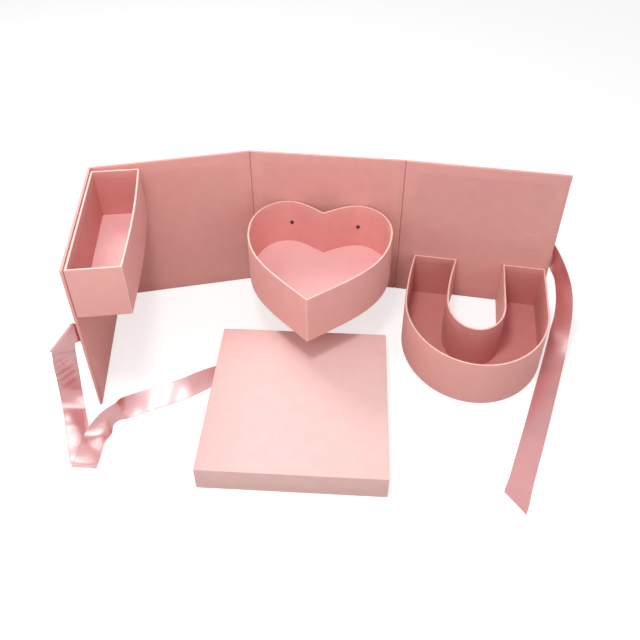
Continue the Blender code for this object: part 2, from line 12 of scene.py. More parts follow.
import bmesh
import bpy
from bmesh.types import BMEdge, BMesh, BMFace, BMVert
from bpy.types import Material, Node, NodeSocket, NodeTree, Object
from mathutils import Matrix, Vector
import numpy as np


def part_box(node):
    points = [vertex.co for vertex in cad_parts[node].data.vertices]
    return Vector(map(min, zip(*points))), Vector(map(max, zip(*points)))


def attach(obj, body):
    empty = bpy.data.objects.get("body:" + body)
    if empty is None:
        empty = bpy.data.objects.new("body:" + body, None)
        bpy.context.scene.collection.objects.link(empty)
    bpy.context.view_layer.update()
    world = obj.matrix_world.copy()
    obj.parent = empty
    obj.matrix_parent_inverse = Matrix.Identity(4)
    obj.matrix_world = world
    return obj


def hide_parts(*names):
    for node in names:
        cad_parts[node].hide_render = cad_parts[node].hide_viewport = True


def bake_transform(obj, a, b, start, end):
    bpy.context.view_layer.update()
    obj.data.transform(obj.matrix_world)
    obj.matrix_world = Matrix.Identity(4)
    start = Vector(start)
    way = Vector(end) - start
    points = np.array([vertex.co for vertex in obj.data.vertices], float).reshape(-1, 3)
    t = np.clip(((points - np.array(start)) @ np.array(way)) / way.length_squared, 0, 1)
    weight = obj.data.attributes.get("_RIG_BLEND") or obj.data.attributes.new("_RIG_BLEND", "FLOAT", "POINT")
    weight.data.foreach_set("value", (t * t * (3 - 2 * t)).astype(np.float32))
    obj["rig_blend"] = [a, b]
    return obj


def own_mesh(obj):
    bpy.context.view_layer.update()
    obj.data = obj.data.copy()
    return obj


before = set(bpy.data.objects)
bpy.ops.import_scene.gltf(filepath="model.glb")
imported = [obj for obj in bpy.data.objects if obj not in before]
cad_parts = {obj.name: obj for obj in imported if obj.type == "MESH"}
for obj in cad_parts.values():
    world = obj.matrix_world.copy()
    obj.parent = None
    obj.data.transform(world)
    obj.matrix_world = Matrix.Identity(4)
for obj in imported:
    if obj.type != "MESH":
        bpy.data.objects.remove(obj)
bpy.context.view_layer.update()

MM = 0.001
TINY = 1e-7
CLOSE = 1e-6
ALONG = 0.99  # the cosine from which a face counts as looking in a direction
LOG = logging.getLogger("gift_box")

SHARPEST = 2.0  # the most that a sheet's thickness grows at a corner

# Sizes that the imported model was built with
PAPER_T = 0.25 * MM
GAP = 0.3 * MM
PANEL_W = 200 * MM
PANEL_T = 3.65 * MM
PANEL_1_W = 195.475 * MM
PANEL_4_W = 201.825 * MM
PANEL_START = 4.25 * MM / 2
BOX_H = 216 * MM
TURN_IN_W = 15 * MM
LINER_SET_IN = 2.5 * MM
TRAY_H = 67.5 * MM
TRAY_WALL_T = 2.6 * MM
LID_W = 208.05 * MM
LID_H = 33.3 * MM
SLIT_FROM_EDGE = 22 * MM
SLIT_Z = 109 * MM
I_TRAY_Z = 148 * MM
HEART_TRAY_Z = 75.5 * MM
TAB_LENGTH = 23.5 * MM
TAB_UNDER_LINER = 20 * MM
RIBBON_W = 26 * MM
TURN_23 = -math.radians(161.98)
TURN_12 = math.radians(180 - 95.28)
TURN_34 = -math.radians(180 - 176.66)
TURN_LID = math.radians(3.62)


class Slot(Enum):
    """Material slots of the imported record."""

    WRAP = "pink_wrap_paper"
    LINER = "pink_liner_paper"
    LINING = "rose_tray_lining"
    LID = "pale_lid_paper"
    SATIN = "rose_satin"
    STEEL = "plated_steel"


class Side(Enum):
    """Which way a panel's inside faces along the Y axis of its own frame."""

    PLUS = 1
    MINUS = -1


def linear(hex_colour: str) -> tuple[float, float, float, float]:
    """Turn an sRGB colour into linear light.

    Args:
        hex_colour: Six hexadecimal digits, such as "D6968A".

    Returns:
        Linear red, green, blue and an alpha of one.
    """
    parts = [int(hex_colour[i:i + 2], 16) / 255 for i in (0, 2, 4)]
    red, green, blue = (p / 12.92 if p <= 0.04045 else ((p + 0.055) / 1.055) ** 2.4 for p in parts)
    return red, green, blue, 1.0


def fill(tree: NodeTree, node: Node, inputs: dict) -> None:
    """Set or link a node's inputs.

    Args:
        tree: The material's or world's node tree.
        node: The node.
        inputs: Socket names or numbers, each with a value or with an output socket to link.
    """
    for name, value in inputs.items():
        if isinstance(value, NodeSocket):
            tree.links.new(value, node.inputs[name])
        else:
            node.inputs[name].default_value = value


def add_node(tree: NodeTree, kind: str, inputs: dict | None = None, **settings) -> Node:
    """Add a node with its settings and links.

    Args:
        tree: The material's or world's node tree.
        kind: The node's type name, without its ShaderNode.
        inputs: Socket names or numbers, each with a value or with an output socket to link.
        settings: The node's own properties.

    Returns:
        The new node.
    """
    node = tree.nodes.new("ShaderNode" + kind)
    for name, value in settings.items():
        setattr(node, name, value)
    fill(tree, node, inputs or {})
    return node


def mottle(tree: NodeTree, place: NodeSocket, size_mm: float, stops: tuple,
           **noise: float) -> tuple[NodeSocket, NodeSocket]:
    """Lay soft clouds of two colours over a surface.

    Args:
        tree: The material's node tree.
        place: The place on the surface.
        size_mm: The clouds' size, in millimetres.
        stops: Two positions from 0 to 1, each with an sRGB colour.
        noise: The noise's other inputs.

    Returns:
        The clouds' strength and their colour.
    """
    clouds = add_node(tree, "TexNoise", {"Vector": place, "Scale": 1 / (size_mm * MM), **noise})
    ramp = add_node(tree, "ValToRGB", {"Fac": clouds.outputs["Fac"]})
    for element, (position, colour) in zip(ramp.color_ramp.elements, stops):
        element.position, element.color = position, linear(colour)
    return clouds.outputs["Fac"], ramp.outputs["Color"]


@dataclass(frozen=True)
class Finish:
    """What all finishes share: a name, and the making of a material from the shader's inputs."""

    name: str

    def inputs(self, tree: NodeTree) -> dict:
        """Return the shader's inputs, which each finish works out with its own nodes."""
        raise NotImplementedError

    def material(self) -> Material:
        """Build the material.

        Returns:
            The material with all its nodes.
        """
        material = bpy.data.materials.new(self.name)
        material.use_nodes = True
        tree = material.node_tree
        fill(tree, tree.nodes["Principled BSDF"], self.inputs(tree))
        return material


@dataclass(frozen=True)
class PaperFinish(Finish):
    """Uncoated, dyed wrapping paper, machine calendered and glued over greyboard.

    It gives the eye a soft, nearly matt surface with a faint cloudiness from the pulp, a fine
    tooth, and the low swell of paper that was brushed down by hand over glue.
    """

    colour: str
    cloud: str
    roughness: float
    pulp_mm: float = 14.0
    tooth_mm: float = 0.9
    swell_mm: float = 45.0

    def inputs(self, tree: NodeTree) -> dict:
        """Build the paper's nodes.

        Args:
            tree: The material's node tree.

        Returns:
            The shader's inputs.
        """
        place = add_node(tree, "TexCoord").outputs["Object"]
        _, pulp = mottle(tree, place, self.pulp_mm, ((0.3, self.cloud), (0.7, self.colour)),
                         Detail=4.0)
        # Real tooth is about 0.1 mm; it is drawn coarser so that it shows
        tooth, swell = (
            add_node(tree, "TexNoise", {"Vector": place, "Scale": 1 / (size * MM),
                                        "Detail": detail, "Roughness": roughness}).outputs["Fac"]
            for size, detail, roughness in ((self.tooth_mm, 3.0, 0.6), (self.swell_mm, 1.0, 0.5)))
        low = add_node(tree, "Bump", {"Height": swell, "Strength": 0.35, "Distance": 0.8 * MM})
        fine = add_node(tree, "Bump", {"Height": tooth, "Strength": 0.22, "Distance": 0.06 * MM,
                                       "Normal": low.outputs["Normal"]})
        patch = add_node(tree, "MapRange", {
            "Value": tooth, "From Min": 0.3, "From Max": 0.7,
            "To Min": self.roughness - 0.05, "To Max": self.roughness + 0.06})
        return {"Base Color": pulp, "Normal": fine.outputs["Normal"],
                "Roughness": patch.outputs["Result"], "IOR": 1.47, "Specular IOR Level": 0.22,
                "Sheen Weight": 0.06, "Sheen Roughness": 0.5}


@dataclass(frozen=True)
class BoardFinish(Finish):
    """Greyboard pressed from waste paper: mid grey with flecks and a coarse felt mark."""

    name: str = "recycled_greyboard"
    colour: str = "A89F94"
    fleck: str = "7C7268"
    fleck_mm: float = 1.6

    def inputs(self, tree: NodeTree) -> dict:
        """Build the board's nodes.

        Args:
            tree: The material's node tree.

        Returns:
            The shader's inputs.
        """
        place = add_node(tree, "TexCoord").outputs["Object"]
        felt, flecks = mottle(tree, place, self.fleck_mm,
                              ((0.34, self.fleck), (0.55, self.colour)), Detail=5.0, Roughness=0.7)
        bump = add_node(tree, "Bump", {"Height": felt, "Strength": 0.4, "Distance": 0.1 * MM})
        return {"Base Color": flecks, "Normal": bump.outputs["Normal"], "Roughness": 0.88}


@dataclass(frozen=True)
class SatinFinish(Finish):
    """Polyester satin ribbon with woven selvedges.

    The floats run along the ribbon, so light drawn out across them makes soft bright bands, and
    the selvedge is a plain weave that looks a little duller.
    """

    name: str = "polyester_satin"
    colour: str = "CB6062"
    deep: str = "BE575B"
    thread_mm: float = 0.45
    pick_mm: float = 0.72
    selvedge_mm: float = 1.1
    shade_mm: float = 30.0

    def inputs(self, tree: NodeTree) -> dict:
        """Build the satin's nodes.

        Args:
            tree: The material's node tree.

        Returns:
            The shader's inputs.
        """
        uv = add_node(tree, "UVMap", uv_map="UVMap").outputs["UV"]
        parts = add_node(tree, "SeparateXYZ", {"Vector": uv})
        along, across = parts.outputs["X"], parts.outputs["Y"]
        # Real threads are about 0.1 mm; they are drawn four times as wide so that they show
        floats = self.wave(tree, across, self.thread_mm)
        picks = self.wave(tree, along, self.pick_mm)
        weave = add_node(tree, "Math", {0: floats, 1: picks}, operation="ADD")
        thread = add_node(tree, "Bump", {"Height": weave.outputs[0], "Strength": 0.1,
                                         "Distance": 0.04 * MM})
        centre = add_node(tree, "Math", {0: across, 1: RIBBON_W / 2}, operation="SUBTRACT")
        off = add_node(tree, "Math", {0: centre.outputs[0]}, operation="ABSOLUTE")
        edge = RIBBON_W / 2 - self.selvedge_mm * MM
        selvedge = add_node(tree, "MapRange", {
            "Value": off.outputs[0], "From Min": edge - 0.1 * MM,
            "From Max": edge + 0.1 * MM}).outputs["Result"]
        _, shade = mottle(tree, uv, self.shade_mm, ((0.3, self.deep), (0.7, self.colour)),
                          Detail=2.0)
        dull = add_node(tree, "Mix", {0: selvedge, 6: shade, 7: linear(self.deep)},
                        data_type="RGBA")
        rough = add_node(tree, "MapRange", {"Value": selvedge, "To Min": 0.35, "To Max": 0.46})
        rib = add_node(tree, "Bump", {"Height": selvedge, "Strength": 0.6, "Distance": 0.1 * MM,
                                      "Normal": thread.outputs["Normal"]})
        tangent = add_node(tree, "Tangent", direction_type="UV_MAP", uv_map="UVMap")
        # The floats lie along the ribbon, so the highlight is drawn out across it. Many filament
        # surfaces lie over each other, so the shine is stronger than one surface gives
        return {"Base Color": dull.outputs[2], "Roughness": rough.outputs["Result"],
                "Normal": rib.outputs["Normal"], "Tangent": tangent.outputs["Tangent"],
                "Anisotropic": 0.6, "Anisotropic Rotation": 0.25, "IOR": 2.3,
                "Specular IOR Level": 1.0, "Sheen Weight": 0.25, "Sheen Roughness": 0.3}

    @staticmethod
    def wave(tree: NodeTree, value: NodeSocket, pitch_mm: float) -> NodeSocket:
        """Return the sine of a length in metres, with its pitch in millimetres."""
        angle = add_node(tree, "Math", {0: value, 1: 2 * math.pi / (pitch_mm * MM)},
                         operation="MULTIPLY")
        return add_node(tree, "Math", {0: angle.outputs[0]}, operation="SINE").outputs[0]


@dataclass(frozen=True)
class ScrewFinish(Finish):
    """Black-nickel plated steel, tumbled: dark, with soft highlights and faint wear."""

    name: str = "black_nickel_steel"
    colour: str = "5B4A45"
    worn: str = "94807A"
    wear_mm: float = 0.8

    def inputs(self, tree: NodeTree) -> dict:
        """Build the metal's nodes.

        Args:
            tree: The material's node tree.

        Returns:
            The shader's inputs.
        """
        place = add_node(tree, "TexCoord").outputs["Object"]
        wear, colour = mottle(tree, place, self.wear_mm,
                              ((0.45, self.colour), (0.75, self.worn)), Detail=4.0)
        rough = add_node(tree, "MapRange", {"Value": wear, "To Min": 0.25, "To Max": 0.45})
        return {"Base Color": colour, "Roughness": rough.outputs["Result"], "Metallic": 1.0}


def white_rays(tree: NodeTree) -> NodeSocket:
    """Find the rays for which the background is white.

    Args:
        tree: The node tree of the world or the floor.

    Returns:
        A socket that is 1 for camera, glossy and transmission rays.
    """
    path = add_node(tree, "LightPath")
    seen = path.outputs["Is Camera Ray"]
    for ray in ("Is Glossy Ray", "Is Transmission Ray"):
        seen = add_node(tree, "Math", {0: seen, 1: path.outputs[ray]},
                        operation="MAXIMUM").outputs[0]
    return seen


@dataclass(frozen=True)
class FloorFinish(Finish):
    """Matt laminate: white where it is seen, and a grey table's light where it lights the box."""

    name: str = "white_laminate"
    bounce: str = "C8BEBA"
    seen: str = "FAF8F7"
    glow: float = 1.35
    glow_share: float = 0.5

    def inputs(self, tree: NodeTree) -> dict:
        """Build the floor's nodes, with a glow beside the shader.

        Args:
            tree: The material's node tree.

        Returns:
            The shader's inputs.
        """
        rays = white_rays(tree)
        tone = add_node(tree, "Mix", {0: rays, 6: linear(self.bounce), 7: linear(self.seen)},
                        data_type="RGBA")
        share = add_node(tree, "Math", {0: rays, 1: self.glow_share}, operation="MULTIPLY")
        glow = add_node(tree, "Emission", {"Color": (1, 1, 1, 1), "Strength": self.glow})
        both = add_node(tree, "MixShader", {0: share.outputs[0], 2: glow.outputs[0],
                                            1: tree.nodes["Principled BSDF"].outputs[0]})
        fill(tree, tree.nodes["Material Output"], {"Surface": both.outputs[0]})
        return {"Base Color": tone.outputs[2], "Roughness": 0.9}


class Look(Enum):
    """Every finish of the box."""

    WRAP = PaperFinish("dyed_wrap_paper", "EFB1AA", "EBACA5", 0.55)
    LINER = PaperFinish("dyed_liner_paper", "EBB0A9", "E7ABA4", 0.6)
    LINING = PaperFinish("dyed_lining_paper", "DD9893", "D9938E", 0.6)
    # Lighter copy of the lining: painted light for the heart tray's walls, which get more light than the U
    # tray's
    PALE_LINING = PaperFinish("lining_paper_painted_lit", "EAA9A4", "E6A49F", 0.6)
    # Lighter floor paper: painted light for the heart and I trays' floors, which get more light than the U
    # tray's
    FLOOR = PaperFinish("floor_paper_painted_lit", "F4C2C1", "F0BCBB", 0.6)
    # Paler paper for the rim's top and the upright corners: a painted highlight where they catch the light
    FOLD = PaperFinish("painted_highlight_paper", "FBDCD0", "F6CFC2", 0.42)
    LID = PaperFinish("dyed_lid_paper", "F3CBC7", "EFC6C2", 0.5)
    BOARD = BoardFinish()
    SATIN = SatinFinish()
    STEEL = ScrewFinish()

    @property
    def material(self) -> Material:
        """The material, which is built when it is first asked for."""
        return bpy.data.materials.get(self.value.name) or self.value.material()


class Shade(Enum):
    """Which papers line a tray's walls and floor; the paler ones are painted light."""

    DEEP = (Look.LINING, Look.LINING)
    PALE = (Look.PALE_LINING, Look.FLOOR)
    PALE_FLOOR = (Look.LINING, Look.FLOOR)


def new_object(name: str, data: bpy.types.ID) -> Object:
    """Put a new object into the scene.

    Args:
        name: The object's name.
        data: Its mesh, light or camera.

    Returns:
        The object, at the origin.
    """
    obj = bpy.data.objects.new(name, data)
    bpy.context.scene.collection.objects.link(obj)
    return obj


def plan_place(x: float, y: float, turn: float) -> Matrix:
    """Return the place of something that stands at x, y, turned about the upright axis."""
    return Matrix.Translation((x, y, 0)) @ Matrix.Rotation(turn, 4, "Z")


def middle_of(node: str) -> tuple[float, float]:
    """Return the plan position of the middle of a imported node's box."""
    low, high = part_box(node)
    return (low.x + high.x) / 2, (low.y + high.y) / 2


def point_out(bm: BMesh) -> None:
    """Make all faces look outwards."""
    bmesh.ops.recalc_face_normals(bm, faces=bm.faces)


def drop(bm: BMesh, faces: list[BMFace]) -> None:
    """Take faces away and leave their edges."""
    bmesh.ops.delete(bm, geom=faces, context="FACES_ONLY")


def new_box(low: tuple, high: tuple) -> BMesh:
    """Make a box between two corners.

    Args:
        low: The lowest corner.
        high: The highest corner.

    Returns:
        The mesh.
    """
    bm = bmesh.new()
    bmesh.ops.create_cube(bm, size=1.0)
    bmesh.ops.scale(bm, vec=[h - l for l, h in zip(low, high)], verts=bm.verts)
    bmesh.ops.translate(bm, vec=[(h + l) / 2 for l, h in zip(low, high)], verts=bm.verts)
    return bm


def round_edges(bm: BMesh, edges: list[BMEdge], radius: float, segments: int = 3) -> list[BMFace]:
    """Round edges with strips that reach a radius from them, and return the strips' faces."""
    return bmesh.ops.bevel(bm, geom=edges, offset=radius, offset_type="OFFSET", segments=segments,
                           profile=0.5, affect="EDGES", material=-1, clamp_overlap=True)["faces"]


def inset(bm: BMesh, face: BMFace, width: float, depth: float = 0.0,
          even: bool = True) -> list[BMFace]:
    """Draw a face in from its edges, lifted by a depth, and return the faces of its border."""
    return bmesh.ops.inset_region(bm, faces=[face], thickness=width, depth=depth,
                                  use_boundary=True, use_even_offset=even)["faces"]


def push(bm: BMesh, faces: list[BMFace], rise: float) -> BMFace:
    """Extrude faces straight up or down, and take away what would be left inside.

    Args:
        bm: The mesh in the making.
        faces: The faces to move.
        rise: How far they move up.

    Returns:
        One of the moved faces.
    """
    made = bmesh.ops.extrude_face_region(bm, geom=faces)["geom"]
    moved = [g for g in made if isinstance(g, BMVert)]
    bmesh.ops.translate(bm, vec=(0, 0, rise), verts=moved)
    if any(len(e.link_faces) > 2 for f in faces for e in f.edges):
        drop(bm, faces)
    return next(g for g in made if isinstance(g, BMFace))


def facing(bm: BMesh, direction: tuple) -> BMFace:
    """Return the largest face that looks in a direction."""
    bm.normal_update()
    faces = (f for f in bm.faces if f.normal.dot(Vector(direction)) > ALONG)
    return max(faces, key=BMFace.calc_area)


def cut_across(bm: BMesh, axis: int, places: list[float], faces: list[BMFace]) -> None:
    """Cut faces along planes that stand across an axis.

    Args:
        bm: The mesh in the making.
        axis: 0, 1 or 2 for X, Y or Z.
        places: Where the planes stand along the axis.
        faces: The faces to cut.
    """
    normal = Vector([float(i == axis) for i in range(3)])
    for place in places:
        corners = [v for f in faces for v in f.verts]
        geometry = dict.fromkeys([*faces, *(e for f in faces for e in f.edges), *corners])
        made = bmesh.ops.bisect_plane(bm, geom=list(geometry), dist=TINY,
                                      plane_co=normal * place, plane_no=normal)
        faces = [g for g in made["geom"] if isinstance(g, BMFace)]


def thicken(bm: BMesh, thickness: float) -> None:
    """Give an open sheet its thickness, away from the side that its faces look to.

    Args:
        bm: The sheet in the making.
        thickness: The thickness, which stays even round corners.
    """
    bm.normal_update()
    corner = bm.verts.layers.float.new("corner")
    for vertex in bm.verts:
        vertex[corner] = min(vertex.calc_shell_factor(), SHARPEST)
    made = bmesh.ops.extrude_face_region(bm, geom=bm.faces[:], use_keep_orig=True)["geom"]
    for vertex in (g for g in made if isinstance(g, BMVert)):
        vertex.co -= vertex.normal * vertex[corner] * thickness
    bm.verts.layers.float.remove(corner)
    point_out(bm)


@dataclass
class Piece:
    """A finished mesh on its way to becoming an object that rides on a body."""

    name: str
    bm: BMesh
    looks: tuple[Look, ...]
    body: str
    slot: Slot
    replaces: tuple[str, ...] = ()
    place: Matrix | None = None
    smooth_deg: float = 40.0

    def mesh_object(self) -> Object:
        """Turn the mesh into an object.

        Returns:
            The object, at the origin.
        """
        if self.place is not None:
            bmesh.ops.transform(self.bm, matrix=self.place, verts=self.bm.verts)
            if self.place.determinant() < 0:
                point_out(self.bm)
        mesh = bpy.data.meshes.new(self.name)
        self.bm.to_mesh(mesh)
        self.bm.free()
        mesh.shade_smooth()
        mesh.set_sharp_from_angle(angle=math.radians(self.smooth_deg))
        for look in self.looks:
            mesh.materials.append(look.material)
        return new_object(self.name, mesh)

    def finish(self, across: tuple[str, Vector, Vector] | None = None) -> Object:
        """Make the object, seat it on its body, or bend it between two, and log it.

        Args:
            across: For a piece that crosses a joint, the second body, the point where it still
                follows its own body, and the point from which it follows the second.

        Returns:
            The object.
        """
        obj = self.mesh_object()
        if across:
            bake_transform(obj, self.body, *across)
        else:
            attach(obj, self.body)
        if self.replaces:
            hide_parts(*self.replaces)
        LOG.info("%s: %d faces, rides on %s", self.name, len(obj.data.polygons), self.body)
        return obj


@dataclass
class Panel:
    """One upright panel: a paper cover with its edges turned in, and the liner over them."""

    number: int
    place: Matrix
    side: Side
    end: float
    end_is_free: bool = False
    edge_round: float = 0.7 * MM
    slit_w: float = 0.85 * MM
    slit_spare: float = 1.5 * MM
    step_w: float = 1.6 * MM
    step_depth: float = 0.36 * MM
    relief_height: float = 0.42 * MM
    relief_soft: float = 4.0 * MM
    relief_cell: float = 1.6 * MM

    @property
    def body(self) -> str:
        """The body that the panel is."""
        return f"panel_{self.number}"

    @property
    def stop(self) -> float:
        """Where the panel ends along its own X axis."""
        return self.end if self.end_is_free else self.end - PANEL_START

    @property
    def slit_x(self) -> float:
        """Where the ribbon's slit stands along the panel's own X axis."""
        return self.end - SLIT_FROM_EDGE

    @property
    def to_row(self) -> Matrix:
        """The panel's place, mirrored where its inside faces the other way."""
        return self.place @ Matrix.Diagonal((1, self.side.value, 1, 1))

    def build(self) -> None:
        """Build and dress the cover and the liner."""
        Piece(self.body + "_cover", self.cover(), (Look.WRAP,), self.body, Slot.WRAP,
              (self.body + "_wrap",), self.to_row, 35.0).finish()
        Piece(self.body + "_lining_sheet", self.liner(), (Look.LINER,), self.body, Slot.LINER,
              (self.body + "_liner",), self.to_row, 60.0).finish()

    def cover(self) -> BMesh:
        """Make the paper that goes round the board and is turned in on its inner face.

        Returns:
            The cover in the panel's own frame.
        """
        turned_in = PANEL_T / 2 - PAPER_T - GAP
        bm = new_box((PANEL_START, -PANEL_T / 2, 0), (self.stop, turned_in, BOX_H))
        round_edges(bm, bm.edges[:], self.edge_round)
        inner = facing(bm, (0, 1, 0))
        inset(bm, inner, TURN_IN_W - self.edge_round, even=False)
        drop(bm, [inner])
        if self.end_is_free:
            self.cut_slit(bm)
        thicken(bm, PAPER_T)
        return bm

    def cut_slit(self, bm: BMesh) -> None:
        """Cut the slit that the ribbon passes through out of the outer face.

        Args:
            bm: The cover in the making.
        """
        middle = Vector((self.slit_x, -PANEL_T / 2, SLIT_Z))
        bm.normal_update()
        for axis, half in ((0, self.slit_w / 2), (2, RIBBON_W / 2 + self.slit_spare)):
            cut_across(bm, axis, [middle[axis] - half, middle[axis] + half],
                       [self.outer_face(bm, middle)])
        drop(bm, [self.outer_face(bm, middle)])

    @staticmethod
    def outer_face(bm: BMesh, spot: Vector) -> BMFace:
        """Return the outer face whose middle is nearest to a spot."""
        outer = (f for f in bm.faces if f.normal.y < -ALONG)
        return min(outer, key=lambda f: (f.calc_center_median() - spot).length)

    def liner(self) -> BMesh:
        """Make the liner, which steps down past the turned-in edges and covers the ribbon's end.

        Returns:
            The liner in the panel's own frame.
        """
        left, right = PANEL_START + LINER_SET_IN, self.stop - LINER_SET_IN
        low, high = LINER_SET_IN, BOX_H - LINER_SET_IN
        bm = bmesh.new()
        face = bm.faces.new([bm.verts.new((x, PANEL_T / 2, z)) for x, z in
                             ((left, low), (left, high), (right, high), (right, low))])
        bm.normal_update()
        inset(bm, face, TURN_IN_W - LINER_SET_IN - self.step_w / 2)
        inset(bm, face, self.step_w, -self.step_depth)
        if self.end_is_free:
            self.raise_relief(bm, face)
        thicken(bm, PAPER_T)
        return bm

    def raise_relief(self, bm: BMesh, face: BMFace) -> None:
        """Raise the liner softly over the ribbon's glued end.

        Args:
            bm: The liner in the making.
            face: The liner's middle face.
        """
        low = Vector((self.slit_x - TAB_UNDER_LINER, 0, SLIT_Z - RIBBON_W / 2))
        high = Vector((self.slit_x, 0, SLIT_Z + RIBBON_W / 2))
        soft = self.relief_soft
        for axis in (0, 2):
            first, last = low[axis] - soft, high[axis] + soft
            count = round((last - first) / self.relief_cell)
            level = face.calc_center_median().y
            cut_across(bm, axis, [first + (last - first) * i / count for i in range(count + 1)],
                       [f for f in bm.faces if abs(f.calc_center_median().y - level) < CLOSE])
        for vertex in bm.verts:
            near = 1.0
            for axis in (0, 2):
                inward = min(vertex.co[axis] - low[axis], high[axis] - vertex.co[axis]) + soft / 2
                share = min(1.0, max(0.0, inward / soft))
                near *= share * share * (3 - 2 * share)
            vertex.co.y += self.relief_height * near


@dataclass
class PanelEnd:
    """The end of a panel at a fold: its far end, or the one at its own origin."""

    panel: Panel
    is_far: bool

    def point(self, depth: float = 0.0, inward: float = 0.0) -> Vector:
        """Return the point some way inward from the end, at a depth towards the panel's inside."""
        along = self.panel.stop - inward if self.is_far else PANEL_START + inward
        return self.panel.to_row @ Vector((along, depth, 0))


@dataclass
class Fold:
    """The paper web between two panels, with a groove on each side."""

    joint: str
    before: PanelEnd
    after: PanelEnd
    short: float = 0.35 * MM
    lap: float = 2.1 * MM
    lap_rise: float = 0.06 * MM
    lip: float = 0.3 * MM
    groove_half_w: float = 0.75 * MM
    groove_depth: float = 2.2 * MM
    dip_outside: float = 0.5
    tuck: float = 0.25 * MM
    steps: int = 10

    def build(self) -> None:
        """Build and dress the web."""
        bm = bmesh.new()
        face = bm.faces.new([bm.verts.new((p.x, p.y, self.short)) for p in self.section()])
        push(bm, [face], BOX_H - 2 * self.short)
        point_out(bm)
        Piece(f"fold_web_{self.joint}", bm, (Look.LINER,), self.before.panel.body, Slot.WRAP,
              (f"hinge_fold_{self.joint}",), None, 50.0).finish(
                  (self.after.panel.body, self.before.point(), self.after.point()))

    def section(self) -> list[Vector]:
        """Draw the web's section: a lap on each panel, the pressed groove between, and the back.

        Returns:
            The section's corners in plan.
        """
        before, after = self.before.point, self.after.point
        face = PANEL_T / 2 - PAPER_T - GAP
        near = [before(face + self.lap_rise, d) for d in (self.lap, self.lip)]
        far = [after(face + self.lap_rise, d) for d in (self.lip, self.lap)]
        across = far[0] - near[1]
        groove = []
        for i in range(1, 2 * self.steps):
            share = i / (2 * self.steps)
            off = abs(share - 0.5) * across.length / self.groove_half_w
            dip = self.groove_depth * max(0.0, 1 - off * off)
            groove.append(near[1] + across * share - self.inward() * dip)
        under, outer = face - self.tuck, self.tuck - PANEL_T / 2
        return [*near, *groove, *far, after(under, self.lap), after(under, self.tuck),
                *self.outer_points(after(outer, self.tuck), before(outer, self.tuck)),
                before(under, self.tuck), before(under, self.lap)]

    def inward(self) -> Vector:
        """Return the direction midway between the insides of the two panels."""
        ways = [end.panel.to_row.to_3x3() @ Vector((0, 1, 0)) for end in (self.before, self.after)]
        return (ways[0] + ways[1]).normalized()

    def outer_points(self, first: Vector, last: Vector) -> list[Vector]:
        """Bend the web's outer side round the fold's axis.

        Args:
            first: Where it leaves one panel.
            last: Where it meets the other.

        Returns:
            Points from the first to the last.
        """
        axis = Vector((*middle_of(f"hinge_fold_{self.joint}"), 0))
        arm, end = first - axis, last - axis
        turn = math.atan2(arm.x * end.y - arm.y * end.x, arm.dot(end))
        if (Matrix.Rotation(turn / 2, 3, "Z") @ arm).dot(self.inward()) > 0:
            turn -= math.copysign(2 * math.pi, turn)
        points = []
        for share in (i / self.steps for i in range(self.steps + 1)):
            radius = arm.length * (1 - self.dip_outside * math.sin(math.pi * share))
            points.append(axis + Matrix.Rotation(turn * share, 3, "Z") @ arm.normalized() * radius)
        return points


def bezier(corners: tuple, steps: int) -> list[tuple]:
    """Follow a cubic curve.

    Args:
        corners: Its start, its two handles and its end.
        steps: How many points it gets.

    Returns:
        The points, without the end.
    """
    points = []
    for t in (i / steps for i in range(steps)):
        u = 1 - t
        weights = (u ** 3, 3 * u * u * t, 3 * u * t * t, t ** 3)
        points.append(tuple(sum(w * c[k] for w, c in zip(weights, corners)) for k in (0, 1)))
    return points


@dataclass
class HeartPlan:
    """The heart tray's plan on panel 3: half a heart, in shares of its size, and its mirror."""

    half_w: float = 92 * MM
    depth: float = 188.4 * MM
    off_middle: float = 1.8 * MM
    curves: tuple = (
        (((0.000, 0.109), (0.152, 0.062), (0.326, 0.000), (0.489, 0.000)), 14),
        (((0.489, 0.000), (0.822, 0.000), (1.000, 0.159), (1.000, 0.292)), 26),
        (((1.000, 0.292), (1.000, 0.626), (0.543, 0.774), (0.000, 1.000)), 34),
    )

    def points(self) -> list[tuple]:
        """Return the heart's outline."""
        middle, back = PANEL_W / 2 - self.off_middle, PANEL_T / 2 + GAP
        half = [p for corners, steps in self.curves for p in bezier(corners, steps)] + [(0.0, 1.0)]
        right = [(middle + x * self.half_w, -back - y * self.depth) for x, y in half]
        return right + [(2 * middle - x, y) for x, y in right[1:-1]][::-1]


